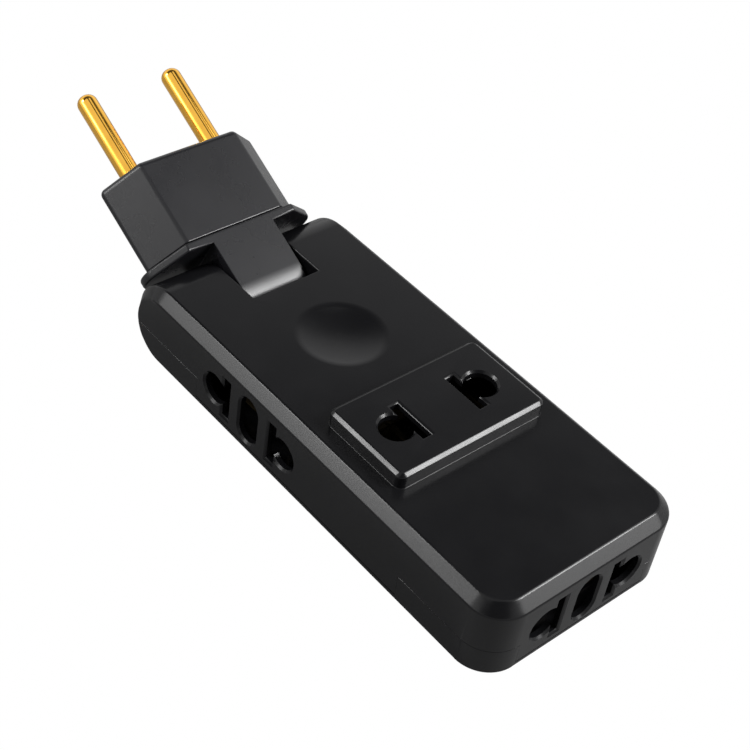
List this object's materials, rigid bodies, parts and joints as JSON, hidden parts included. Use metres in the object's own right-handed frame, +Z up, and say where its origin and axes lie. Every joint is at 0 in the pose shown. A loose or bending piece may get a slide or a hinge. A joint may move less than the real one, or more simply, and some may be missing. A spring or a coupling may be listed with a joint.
{
  "type": "travel adapter",
  "caption": "Flat travel adapter with a folding round-pin plug hinged at one end and universal outlets on its top, long sides and front end.",
  "frame": {"origin": "middle of the case's underside, on the surface that it lies on, with the plug left out", "axes": "+X from the plug end to the front outlet, +Y along the hinge axis to the left side, +Z up"},
  "size_m": [0.1315, 0.043, 0.0311],
  "materials": {
    "case_plastic": "fine satin black moulding",
    "plug_plastic": "fine satin black moulding",
    "pin_brass": "polished, turned",
    "contact_brass": "stamped sheet",
    "screw_steel": "zinc plated"
  },
  "bodies": {
    "case": {"upper_shell": "case_plastic", "lower_shell": "case_plastic", "case_screws": "screw_steel", "line_bus": "contact_brass", "neutral_bus": "contact_brass", "top_line_clip": "contact_brass", "left_line_clip": "contact_brass", "right_line_clip": "contact_brass", "front_line_clip": "contact_brass", "top_neutral_clip": "contact_brass", "left_neutral_clip": "contact_brass", "right_neutral_clip": "contact_brass", "front_neutral_clip": "contact_brass", "line_hinge_spring": "contact_brass", "neutral_hinge_spring": "contact_brass"},
    "plug": {"plug_top_half": "plug_plastic", "plug_bottom_half": "plug_plastic", "plug_pin_line": "pin_brass", "plug_pin_neutral": "pin_brass", "line_lead": "contact_brass", "neutral_lead": "contact_brass", "line_pivot_disc": "contact_brass", "neutral_pivot_disc": "contact_brass"}
  },
  "joints": [
    {"name": "plug_hinge", "type": "hinge", "parent": "case", "child": "plug", "pos_m": [-0.0395, 0, 0.0085], "axis": [0, 1, 0], "range_deg": [-26, 64]}
  ]
}
